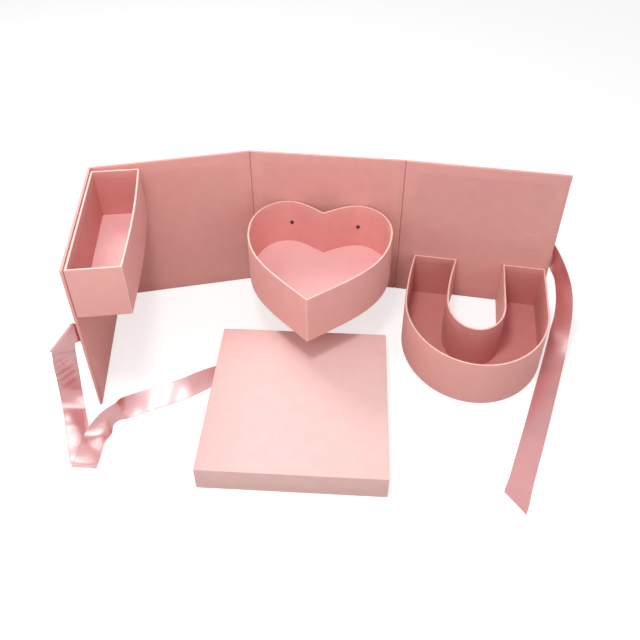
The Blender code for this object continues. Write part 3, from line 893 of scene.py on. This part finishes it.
@dataclass
class UPlan:
    """The U tray's plan on panel 4: two arms whose backs are drawn in, and a bend."""

    left: float = 17.1 * MM
    right: float = PANEL_W - PANEL_T / 2 - 0.6 * MM
    arm: float = 55.5 * MM
    outer_length: float = 86 * MM
    outer_bend: float = 102 * MM
    outer_shift: float = 5.5 * MM
    inner_length: float = 81 * MM
    inner_bend: float = 47 * MM
    inner_shift: float = 8.5 * MM
    side_steps: int = 10
    outer_steps: int = 64
    inner_steps: int = 40

    def points(self) -> list[tuple]:
        """Return the U's outline."""
        left, right, arm = self.left, self.right, self.arm
        outer = self.side(left, self.outer_shift, self.outer_length)
        outer += self.bend(left, right, self.outer_length, self.outer_bend, self.outer_steps)
        inner = self.side(left + arm, self.inner_shift, self.inner_length)
        inner += self.bend(left + arm, right - arm, self.inner_length, self.inner_bend,
                           self.inner_steps)
        ring = outer + [(right, 0), (right - arm, 0)] + inner[::-1]
        return [(x, -PANEL_T / 2 - GAP - y) for x, y in ring]

    def side(self, edge: float, shift: float, length: float) -> list[tuple]:
        """Return an arm's left side, whose back end is shifted in a soft curve."""
        shares = [i / self.side_steps for i in range(self.side_steps)]
        return [(edge + shift * (1 - s) ** 2, length * s) for s in shares]

    @staticmethod
    def bend(left: float, right: float, start: float, depth: float, steps: int) -> list[tuple]:
        """Return half an ellipse from its left end round to its right."""
        turns = [math.pi * i / steps for i in range(steps + 1)]
        return [((left + right) / 2 - (right - left) / 2 * math.cos(t), start + depth * math.sin(t))
                for t in turns]


@dataclass
class IPlan:
    """The I tray's plan on panel 1: a bar with a slightly bowed front."""

    start: float = 7.8 * MM
    end: float = PANEL_1_W - 0.2 * MM
    depth: float = 59.3 * MM
    bow: float = 3.2 * MM
    stand_off: float = 0.8 * MM
    steps: int = 24

    def points(self) -> list[tuple]:
        """Return the bar's outline."""
        start, end, back = self.start, self.end, PANEL_T / 2 + self.stand_off
        return [(start, back), (end, back)] + [
            (end + (start - end) * s, back + self.depth + self.bow * math.sin(math.pi * s))
            for s in (i / self.steps for i in range(self.steps + 1))]


# Where a tray covering's papers stand in its list of materials, after the wrap; the second is a painted
# highlight
LINING_PAPER, HIGHLIGHT_PAPER = 1, 2


@dataclass
class Tray:
    """A letter tray: a paper-covered wall with a rolled rim, an inner lining and a floor sheet."""

    name: str
    body: str
    place: Matrix
    outline: list[tuple]
    base_z: float
    shade: Shade
    flap_h: float = 10 * MM
    overlap: float = 1.2 * MM
    rim_round: float = 0.65 * MM
    crease: float = 0.5 * MM
    sharp: float = math.radians(30)
    floor_rise: float = 1.8 * MM
    floor_gap: float = 0.35 * MM
    curl_w: float = 2.0 * MM
    curl: float = 0.25 * MM

    @property
    def rim_z(self) -> float:
        """The rim's height."""
        return self.base_z + TRAY_H

    @property
    def floor_z(self) -> float:
        """The floor sheet's lower face."""
        return self.base_z + self.floor_rise

    def build(self) -> None:
        """Build and dress the wall's wrap, its lining and the floor."""
        lining, floor = self.shade.value
        for piece, mesh, looks, slot, node in (
                ("covering", self.covering, (Look.WRAP, lining, Look.FOLD), Slot.WRAP, "wrap"),
                ("inner_wall", self.inner_wall, (lining,), Slot.LINING, "lining"),
                ("floor", self.floor, (floor,), Slot.LINING, "floor_sheet")):
            Piece(f"{self.name}_{piece}", mesh(), looks, self.body, slot, (f"{self.name}_{node}",),
                  self.place, 38.0).finish()

    def plate(self, z: float, inward: float) -> tuple[BMesh, BMFace]:
        """Make a flat face with the tray's outline.

        Args:
            z: Its height.
            inward: How far it is drawn in from the outline.

        Returns:
            The mesh and its face.
        """
        bm = bmesh.new()
        face = bm.faces.new([bm.verts.new((x, y, z)) for x, y in self.outline])
        bm.normal_update()
        if face.normal.z < 0:
            face.normal_flip()
        if inward:
            bmesh.ops.delete(bm, geom=inset(bm, face, inward), context="FACES")
        return bm, face

    def covering(self) -> BMesh:
        """Make the wrap: up the outside, over the rounded rim and down into the tray as a flap.

        Returns:
            The wrap in the panel's own frame.
        """
        low = self.base_z + GAP
        bm, base = self.plate(low, 0)
        top = push(bm, [base], self.rim_z - low)
        bm.normal_update()
        inset(bm, top, TRAY_WALL_T)
        bottom = push(bm, [top], -self.flap_h)
        drop(bm, [bottom] + [f for f in bm.faces if all(abs(v.co.z - low) < TINY for v in f.verts)])
        bm.normal_update()
        rim = [e for e in bm.edges if self.is_rim_edge(e)]
        point_out(bm)
        round_edges(bm, rim, self.rim_round)
        self.paint_highlight_and_flap(bm)
        thicken(bm, PAPER_T)
        return bm

    def is_rim_edge(self, edge: BMEdge) -> bool:
        """Tell whether an edge runs along the rim, between a wall face and a rim face."""
        heights = [f.calc_center_median().z for f in edge.link_faces]
        return (all(abs(v.co.z - self.rim_z) < TINY for v in edge.verts) and len(heights) == 2
                and any(abs(f.normal.z) < 0.5 for f in edge.link_faces)
                and max(heights) - min(heights) > 1e-5)

    def paint_highlight_and_flap(self, bm: BMesh) -> None:
        """Dress the flap like the tray's inside; paint a highlight on the rim and the upright corners.

        Args:
            bm: The wrap in the making, whose upright corners this rounds.
        """
        bm.normal_update()
        for face in bm.faces:
            heights = [v.co.z for v in face.verts]
            # The rim's top gets the paler paper: a painted highlight
            if min(heights) > self.rim_z - CLOSE:
                face.material_index = HIGHLIGHT_PAPER
            elif (max(heights) < self.rim_z - self.rim_round / 2
                  and min(heights) > self.base_z + GAP + CLOSE):
                face.material_index = LINING_PAPER
        corners = [e for e in bm.edges if len(e.link_faces) == 2 and e.is_convex
                   and abs(e.verts[0].co.z - e.verts[1].co.z) > 2 * self.flap_h
                   and e.calc_face_angle(0.0) > self.sharp]
        # The rounded upright corners get the same painted highlight
        for face in round_edges(bm, corners, self.crease, 2):
            face.material_index = HIGHLIGHT_PAPER

    def inner_wall(self) -> BMesh:
        """Make the lining that stands on the floor and laps over the flap's lower edge.

        Returns:
            The lining in the panel's own frame.
        """
        bm, base = self.plate(self.floor_z, TRAY_WALL_T)
        push(bm, [base], self.rim_z - self.flap_h + self.overlap - self.floor_z)
        drop(bm, [f for f in bm.faces if len(f.verts) > 4])
        point_out(bm)
        thicken(bm, PAPER_T)
        return bm

    def floor(self) -> BMesh:
        """Make the floor sheet, whose edge curls up a little where it meets the wall.

        Returns:
            The sheet in the panel's own frame.
        """
        bm, face = self.plate(self.floor_z + PAPER_T, TRAY_WALL_T + PAPER_T + self.floor_gap)
        inset(bm, face, self.curl_w)
        bmesh.ops.translate(bm, vec=(0, 0, self.curl), verts=[v for v in bm.verts if v.is_boundary])
        thicken(bm, PAPER_T)
        return bm


@dataclass
class Screw:
    """A pan-head screw with a cross recess that holds the heart tray to its panel."""

    side: str
    segments: int = 32
    head_r: float = 2.6 * MM
    head_t: float = 1.2 * MM
    shank_r: float = 1.0 * MM
    dome: float = 0.75 * MM
    dome_steps: int = 5
    recess_r: float = 1.75 * MM
    arm_w: float = 0.8 * MM
    recess_d: float = 0.75 * MM
    recess_reach: float = 1.4 * MM

    def build(self) -> None:
        """Build and dress the screw."""
        node = f"heart_screw_{self.side}"
        low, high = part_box(node)
        centre = Vector(((low.x + high.x) / 2, low.y, (low.z + high.z) / 2))
        place = Matrix.Translation(centre) @ Matrix.Rotation(-math.pi / 2, 4, "X")
        Piece(f"screw_{self.side}", self.turned(high.y - low.y), (Look.STEEL,), "panel_3",
              Slot.STEEL, (node,), place).finish()

    def turned(self, length: float) -> BMesh:
        """Make the screw.

        Args:
            length: Its whole length.

        Returns:
            The screw, whose head's face lies at 0 and whose shank points along +Z.
        """
        bm = bmesh.new()
        bmesh.ops.create_circle(bm, cap_ends=True, segments=self.segments, radius=self.head_r)
        back = push(bm, bm.faces[:], self.head_t)
        bm.normal_update()
        inset(bm, back, self.head_r - self.shank_r)
        push(bm, [back], length - self.head_t)
        point_out(bm)
        round_edges(bm, list(facing(bm, (0, 0, -1)).edges), self.dome, self.dome_steps)
        self.cut_recess(bm, facing(bm, (0, 0, -1)))
        point_out(bm)
        return bm

    def cut_recess(self, bm: BMesh, front: BMFace) -> None:
        """Press the cross recess into the head's face.

        Args:
            bm: The screw in the making.
            front: The head's flat face.
        """
        inset(bm, front, self.head_r - self.dome - self.recess_r)
        half = self.arm_w / 2
        for axis in (0, 1):
            cut_across(bm, axis, [-half, half], self.flat_middle(bm, self.head_r))
        push(bm, self.flat_middle(bm, half), self.recess_d)

    def flat_middle(self, bm: BMesh, half: float) -> list[BMFace]:
        """Find the flat faces in the middle of the head that lie in a cross.

        Args:
            bm: The screw in the making.
            half: Half the width of the cross's arms.

        Returns:
            The faces.
        """
        middles = {f: f.calc_center_median() for f in bm.faces}
        return [f for f, m in middles.items() if abs(m.z) < TINY and min(abs(m.x), abs(m.y)) < half
                and m.xy.length < self.recess_reach]


@dataclass
class Lid:
    """The square cap lid, lying on the table: wrap with a turned-up hem, and the sheet inside."""

    place: Matrix
    wall_t: float = 1.9 * MM
    hem_h: float = 15 * MM
    edge_round: float = 0.75 * MM
    board_t: float = 0.8 * MM
    sheet_set_in: float = 1.65 * MM

    def build(self) -> None:
        """Build and dress the wrap, and the sheet under the top board."""
        half, top = LID_W / 2 - self.sheet_set_in, LID_H - PAPER_T - GAP - self.board_t - GAP
        sheet = new_box((-half, -half, top - PAPER_T), (half, half, top))
        for name, mesh, node in (("lid_covering", self.covering(), "lid_wrap"),
                                 ("lid_inner_sheet", sheet, "lid_liner")):
            Piece(name, mesh, (Look.LID,), "lid", Slot.LID, (node,), self.place).finish()

    def covering(self) -> BMesh:
        """Make the wrap over the top, down the sides and up inside as a hem.

        Returns:
            The wrap in the lid's own frame.
        """
        half = LID_W / 2
        bm = new_box((-half, -half, 0), (half, half, LID_H))
        base = facing(bm, (0, 0, -1))
        inset(bm, base, self.wall_t)
        drop(bm, [push(bm, [base], self.hem_h)])
        point_out(bm)
        outer = [e for e in bm.edges if len(e.link_faces) == 2
                 and all(max(abs(v.co.x), abs(v.co.y)) > half - CLOSE for v in e.verts)]
        round_edges(bm, outer, self.edge_round, 4)
        bm.normal_update()
        if max(bm.faces, key=lambda f: f.calc_center_median().z).normal.z < 0:
            bmesh.ops.reverse_faces(bm, faces=bm.faces[:])
        thicken(bm, PAPER_T)
        return bm


@dataclass
class Station:
    """One place along a ribbon: its middle, the direction across it and the length of that line."""

    centre: Vector
    across: Vector
    length: float


@dataclass
class Ripple:
    """A run of soft creases: where it starts and ends, how high, how long and how slanted."""

    start: float
    stop: float
    height: float
    pitch: float
    slant: float
    shift: float = 0.0


# Each row: shares of the reach ahead and to the left, height as a share of the slit's, the heading
# and the tilt of the line across the ribbon in degrees, and that line's length in ribbon widths
LEFT_ROUTE = (
    (-0.026, 0.004, 1.024, 16, 90, 1.12),
    (-0.131, -0.043, 1.051, 16, 41, 1.47),
    (-0.141, -0.034, 1.057, 16, 41, 1.47),
    (-0.134, -0.025, 1.051, 18, 41, 1.47),
    (-0.136, -0.025, 1.023, 21, 27, 1.19),
    (-0.148, -0.029, 0.951, 15, 2, 1.00),
    (-0.170, 0.022, 0.750, 9, 0, 1.00),
    (-0.200, 0.106, 0.400, 3, -2, 1.00),
    (-0.220, 0.116, 0.140, -4, -2, 1.00),
    (-0.221, 0.020, 0.016, -8, 0, 1.00),
    (-0.208, -0.163, 0.007, 3, 0, 1.00),
    (-0.197, -0.331, 0.006, 4, 0, 1.00),
    (-0.185, -0.490, 0.024, -4, 0, 1.03),
    (-0.172, -0.592, 0.026, -22, 0, 1.08),
    (-0.169, -0.600, 0.036, -22, 0, 1.08),
    (-0.166, -0.592, 0.046, -22, 0, 1.08),
    (-0.139, -0.529, 0.050, -23, 0, 1.08),
    (-0.111, -0.451, 0.048, -24, -3, 1.05),
    (-0.066, -0.352, 0.034, -33, -9, 1.00),
    (0.001, -0.290, 0.003, -36, -40, 1.00),
    (0.067, -0.231, 0.001, -56, -76, 1.00),
    (0.136, -0.194, 0.001, -76, -78, 1.00),
    (0.203, -0.157, 0.004, -76, -45, 1.00),
    (0.274, -0.135, 0.004, -77, -33, 1.00),
    (0.357, -0.118, 0.003, -81, -27, 1.00),
    (0.523, -0.103, 0.003, -85, -25, 1.00),
    (0.700, -0.082, 0.003, -86, -25, 1.00),
    (0.860, -0.038, 0.008, -96, -16, 1.06),
    (1.000, 0.000, 0.011, -112, -7, 1.12),
)
RIGHT_ROUTE = (
    (0.008, 0.009, 0.591, -57, 90, 1.50),
    (0.035, -0.059, 0.567, -53, 66, 1.25),
    (0.055, -0.121, 0.455, -30, 52, 1.08),
    (0.060, -0.177, 0.315, -27, 35, 1.00),
    (0.051, -0.237, 0.165, -23, 22, 1.00),
    (0.035, -0.317, 0.055, -20, 14, 1.00),
    (0.010, -0.420, 0.014, -18, 10, 1.00),
    (-0.018, -0.530, 0.011, -16, 7, 1.00),
    (-0.044, -0.633, 0.012, -14, 2, 1.00),
    (-0.070, -0.732, 0.009, -15, 0, 1.00),
    (-0.095, -0.825, 0.007, -15, 0, 1.00),
    (-0.119, -0.914, 0.005, -21, 0, 1.03),
    (-0.135, -0.973, 0.004, -46, 0, 1.23),
)
LID_CLEARANCE = 3 * MM
RIGHT_REACH = 326 * MM
LEFT_RIPPLES = (Ripple(0.16, 0.36, 0.5 * MM, 17 * MM, 0.8),
                Ripple(0.30, 0.48, 0.35 * MM, 23 * MM, -0.6),
                Ripple(0.72, 0.98, 0.4 * MM, 34 * MM, 0.5, 0.3))
RIGHT_RIPPLES = (Ripple(0.2, 0.6, 0.3 * MM, 41 * MM, 0.7),
                 Ripple(0.55, 0.95, 0.2 * MM, 57 * MM, -0.4))


def mix(near: Vector, far: Vector, first: float, last: float, at: float) -> Vector:
    """Return the value at a place between two others, whose own places are first and last."""
    return near * ((last - at) / (last - first)) + far * ((at - first) / (last - first))


@dataclass
class Ribbon:
    """A satin ribbon that leaves a slit near its panel's free edge and lies on the table."""

    side: str
    panel: Panel
    route_place: Matrix
    reach: float
    route: tuple
    ripples: tuple[Ripple, ...]
    held: str = "hung"
    steps: int = 8
    cells_across: int = 16
    thickness: float = 0.25 * MM
    cup: float = 0.35 * MM
    cup_from: float = 0.09
    cup_run: float = 0.05
    under_liner: float = 1.15 * MM
    bend: float = 0.6 * MM
    straight: float = 8 * MM
    keep: float = 0.03
    stand_off: float = 0.8 * MM

    @property
    def outer(self) -> float:
        """How far behind the panel's middle the ribbon lies against its outer face."""
        return PANEL_T / 2 + GAP + self.thickness / 2

    def build(self) -> None:
        name = f"satin_ribbon_{self.side}"
        slit, inner, outer, bend = self.panel.slit_x, self.under_liner, self.outer, self.bend
        tab = self.upright((slit - TAB_UNDER_LINER, inner), (slit - TAB_UNDER_LINER / 2, inner),
                           (slit - bend, inner), (slit, inner - bend), (slit, bend - outer))
        exit_ = self.upright((slit, bend - outer), (slit + bend, -outer),
                             (slit + self.straight, -outer))
        glued, _ = self.cloth(name + "_glued_end", tab, ())
        obj, length = self.cloth(name, exit_ + self.lying(), (f"ribbon_{self.side}",))
        length += TAB_LENGTH
        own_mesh(obj)
        LOG.info("%s: cut %.0f mm long", name, length / MM)

    def upright(self, *spots: tuple[float, float]) -> list[Station]:
        """Return stations at plan spots of the panel, with the ribbon's width upright."""
        return [Station(self.panel.to_row @ Vector((x, y, SLIT_Z)), Vector((0, 0, 1)), RIBBON_W)
                for x, y in spots]

    def lying(self) -> list[Station]:
        """Follow the route's rows with a smooth curve.

        Returns:
            Stations along the curve.
        """
        rows = []
        for ahead, left, height, heading, tilt, width in self.route:
            lean, turn = math.radians(tilt), math.radians(heading)
            across = Vector((math.cos(lean) * math.cos(turn), math.cos(lean) * math.sin(turn),
                             math.sin(lean)))
            length = width * RIBBON_W
            z = GAP + self.thickness / 2 + height * SLIT_Z + length / 2 * abs(across.z)
            centre = self.route_place @ Vector((ahead * self.reach, left * self.reach, z))
            rows.append(Vector((*centre, *(self.route_place.to_3x3() @ across), length)))
        rows = [2 * rows[0] - rows[1]] + rows + [2 * rows[-1] - rows[-2]]
        made = []
        for points in zip(rows, rows[1:], rows[2:], rows[3:]):
            knots = [0.0]
            for near, far in zip(points, points[1:]):
                gap = Vector(far[:3]) - Vector(near[:3])
                knots.append(knots[-1] + math.sqrt(gap.length))
            for i in range(self.steps):
                at = knots[1] + (knots[2] - knots[1]) * i / self.steps
                low = [mix(*pair, at) for pair in zip(points, points[1:], knots, knots[1:])]
                high = [mix(*pair, at) for pair in zip(low, low[1:], knots, knots[2:])]
                made.append(mix(*high, knots[1], knots[2], at))
        made.append(rows[-2])
        return [Station(Vector(r[:3]), Vector(r[3:6]).normalized(), r[6]) for r in made]

    def cloth(self, name: str, stations: list[Station],
              replaced: tuple[str, ...]) -> tuple[Object, float]:
        """Make a piece of the ribbon along its stations, with its UV map in metres.

        Args:
            name: The piece's name.
            stations: The places along it.
            replaced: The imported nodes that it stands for.

        Returns:
            The object and the length of ribbon in it.
        """
        lengths = [0.0]
        for before, after in zip(stations, stations[1:]):
            lengths.append(lengths[-1] + (after.centre - before.centre).length)
        bm = bmesh.new()
        uv = bm.loops.layers.uv.new("UVMap")
        last = len(stations) - 1
        bmesh.ops.create_grid(bm, x_segments=last, y_segments=self.cells_across, size=0.5)
        shares = {v: (round((v.co.x + 0.5) * last), v.co.y + 0.5) for v in bm.verts}
        for loop in (corner for face in bm.faces for corner in face.loops):
            i, t = shares[loop.vert]
            loop[uv].uv = (lengths[i], t * RIBBON_W)
        ways = self.normals(stations)
        for vertex, (i, t) in shares.items():
            lift = self.lift(lengths[i] / lengths[-1], lengths[i], t)
            vertex.co = (stations[i].centre + stations[i].across * (t - 0.5) * stations[i].length
                         + ways[i] * lift)
            vertex.co.z = max(vertex.co.z, self.thickness)
        area = sum(f.calc_area() for f in bm.faces)
        thicken(bm, self.thickness)
        obj = Piece(name, bm, (Look.SATIN,), self.panel.body, Slot.SATIN, replaced, None,
                    70.0).finish()
        return obj, area / RIBBON_W

    @staticmethod
    def normals(stations: list[Station]) -> list[Vector]:
        """Find the ribbon's own upward direction at each station.

        Args:
            stations: The places along the ribbon.

        Returns:
            One direction for each.
        """
        steps = [(b.centre - a.centre).normalized() for a, b in zip(stations, stations[1:])]
        runs = [b + a for a, b in zip([steps[0], *steps], [*steps, steps[-1]])]
        return [run.cross(s.across).normalized() for run, s in zip(runs, stations)]

    def lift(self, share: float, length: float, t: float) -> float:
        """Work out how far the cloth stands off its middle surface.

        Args:
            share: How far along the ribbon, from 0 to 1.
            length: The same in metres.
            t: How far across the ribbon, from 0 to 1.

        Returns:
            The distance in metres.
        """
        height = 0.0
        for ripple in self.ripples:
            span = (share - ripple.start) / (ripple.stop - ripple.start)
            if 0 < span < 1:
                phase = (length + ripple.slant * t * RIBBON_W) / ripple.pitch + ripple.shift
                fade = math.sin(math.pi * span) ** 2
                height += ripple.height * fade * math.sin(2 * math.pi * phase)
        tucked = min(1.0, max(0.0, (share - self.cup_from) / self.cup_run))
        return height + self.cup * tucked * (1 - (2 * t - 1) ** 2)


@dataclass(frozen=True)
class Lamp:
    """A rectangular soft light: where it stands, what it faces, its width and height, its watts."""

    name: str
    place: tuple[float, float, float]
    target: tuple[float, float, float]
    size: tuple[float, float]
    power: float

    def build(self) -> None:
        """Stand the lamp in its place."""
        data = bpy.data.lights.new(self.name, "AREA")
        data.shape = "RECTANGLE"
        data.size, data.size_y = self.size
        data.energy = self.power
        lamp = new_object(self.name, data)
        lamp.location = self.place
        way = Vector(self.target) - Vector(self.place)
        lamp.rotation_euler = way.to_track_quat("-Z", "Y").to_euler()


@dataclass
class Studio:
    """The pale floor, the soft lights and the camera."""

    sky: float = 0.44
    floor_half: float = 4.0
    focal_mm: float = 39.616
    sensor_mm: float = 36.0
    shift: tuple[float, float] = (0.00808, -0.12942)
    camera_place: tuple[float, float, float] = (0.06592, -0.58623, 0.69167)
    yaw: float = -0.1278116
    pitch: float = 0.6724620
    roll: float = -0.0066237
    lamps: tuple[Lamp, ...] = (
        Lamp("softbox", (-0.08, -0.28, 1.10), (0.0, -0.02, 0.05), (0.18, 0.18), 4.3),
        Lamp("front_lamp", (-0.15, -0.50, 0.70), (-0.08, 0.05, 0.08), (0.3, 0.3), 0.9),
        Lamp("back_lamp", (-0.66, 0.58, 0.95), (-0.28, -0.1, 0.0), (0.4, 0.26), 5.5),
        Lamp("side_lamp", (0.45, -0.28, 1.10), (0.0, 0.0, 0.05), (0.4, 0.4), 0.3),
        Lamp("left_fill", (-1.1, -0.8, 0.7), (0.0, 0.0, 0.08), (0.7, 0.7), 2.4),
        Lamp("right_fill", (1.1, -0.8, 0.7), (0.0, 0.0, 0.08), (0.7, 0.7), 1.6),
    )

    def build(self) -> None:
        """Build the whole studio."""
        self.build_floor()
        self.build_world()
        for lamp in self.lamps:
            lamp.build()
        self.build_camera()
        bpy.context.scene.view_settings.view_transform = "Standard"

    def build_floor(self) -> None:
        """Lay the floor, which looks white to the camera and keeps the shadows."""
        bm = bmesh.new()
        bmesh.ops.create_grid(bm, x_segments=1, y_segments=1, size=self.floor_half)
        mesh = bpy.data.meshes.new("floor")
        bm.to_mesh(mesh)
        bm.free()
        mesh.materials.append(FloorFinish().material())
        floor = new_object("floor", mesh)

    def build_world(self) -> None:
        """Light the scene softly from all round, with a white background."""
        world = bpy.data.worlds.new("studio")
        bpy.context.scene.world = world
        world.use_nodes = True
        tree = world.node_tree
        strength = add_node(tree, "MapRange", {"Value": white_rays(tree), "To Min": self.sky,
                                               "To Max": 1.0})
        fill(tree, tree.nodes["Background"], {"Color": (1, 1, 1, 1),
                                              "Strength": strength.outputs["Result"]})

    def build_camera(self) -> None:
        """Stand the camera where the photograph was taken from."""
        data = bpy.data.cameras.new("camera")
        data.sensor_width, data.lens = self.sensor_mm, self.focal_mm
        data.shift_x, data.shift_y = self.shift
        camera = new_object("camera", data)
        camera.matrix_world = Matrix.Translation(self.camera_place)
        for turn, axis in ((-self.yaw, "Z"), (math.pi / 2 - self.pitch, "X"), (self.roll, "Z")):
            camera.matrix_world = camera.matrix_world @ Matrix.Rotation(turn, 4, axis)
        bpy.context.scene.camera = camera


def dress_kept_nodes() -> None:
    """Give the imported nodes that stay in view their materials."""
    for name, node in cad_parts.items():
        if "board" in name:
            look = Look.WRAP if name.endswith("_base_board") else Look.BOARD
            node.data.materials.clear()
            node.data.materials.append(look.material)
            LOG.info("%s: kept, now in %s", name, look.value.name)


def main() -> None:
    """Build the box from its panels outwards, then the studio."""
    logging.basicConfig(level=logging.INFO, format="%(message)s")
    root = plan_place(*middle_of("hinge_fold_23"), 0)
    place_2 = root @ Matrix.Rotation(TURN_23, 4, "Z")
    place_1 = place_2 @ plan_place(PANEL_W, 0, TURN_12)
    place_4 = root @ plan_place(PANEL_W, 0, TURN_34)
    lid_place = plan_place(*middle_of("lid_wrap"), TURN_LID)
    panel_1 = Panel(1, place_1, Side.PLUS, PANEL_1_W, True)
    panel_2 = Panel(2, place_2, Side.PLUS, PANEL_W)
    panel_3 = Panel(3, root, Side.MINUS, PANEL_W)
    panel_4 = Panel(4, place_4, Side.MINUS, PANEL_4_W, True)
    start = place_1 @ Vector((PANEL_1_W, 0, 0))
    span = lid_place @ Vector((-LID_W / 2 - LID_CLEARANCE, LID_W / 4, 0)) - start
    left_place = plan_place(start.x, start.y, math.atan2(span.y, span.x))
    right_place = place_4 @ Matrix.Translation((PANEL_4_W, 0, 0))
    for part in (
            panel_1, panel_2, panel_3, panel_4,
            Fold("12", PanelEnd(panel_2, True), PanelEnd(panel_1, False)),
            Fold("23", PanelEnd(panel_3, False), PanelEnd(panel_2, False)),
            Fold("34", PanelEnd(panel_3, True), PanelEnd(panel_4, False)),
            # The I and heart trays take the lighter copies, which are painted light
            Tray("i_tray", "panel_1", place_1, IPlan().points(), I_TRAY_Z, Shade.PALE_FLOOR),
            Tray("heart_tray", "panel_3", root, HeartPlan().points(), HEART_TRAY_Z, Shade.PALE),
            Tray("u_tray", "panel_4", place_4, UPlan().points(), 0.0, Shade.DEEP),
            Screw("left"), Screw("right"), Lid(lid_place),
            Ribbon("left", panel_1, left_place, span.length, LEFT_ROUTE, LEFT_RIPPLES),
            Ribbon("right", panel_4, right_place, RIGHT_REACH, RIGHT_ROUTE, RIGHT_RIPPLES)):
        part.build()
    dress_kept_nodes()
    Studio().build()


if __name__ == "__main__":
    main()
